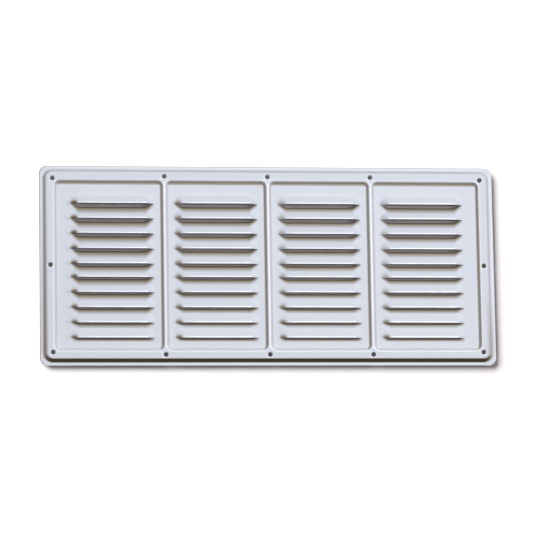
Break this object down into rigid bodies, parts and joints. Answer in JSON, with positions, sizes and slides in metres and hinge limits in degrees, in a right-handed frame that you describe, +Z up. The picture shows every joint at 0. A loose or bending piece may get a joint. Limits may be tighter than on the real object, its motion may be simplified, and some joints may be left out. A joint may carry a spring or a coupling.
{
  "type": "refrigerator vent grille",
  "caption": "Wide rectangular pressed sheet vent grille: flat lip, raised border with screw holes, sunk panels parted by ribs, and rows of hooded louvres whose slits face down.",
  "frame": {"origin": "middle of the plate, on the wall plane that the back of its lip lies on", "axes": "+X to the right along the long side, seen from the front; +Y back into the wall; +Z up, away from the slits, which face down"},
  "size_m": [0.41, 0.0066, 0.18],
  "materials": {
    "white_powder_coat": "satin white powder coat on pressed aluminium sheet"
  },
  "bodies": {
    "root": {"grille": "white_powder_coat"}
  },
  "joints": []
}
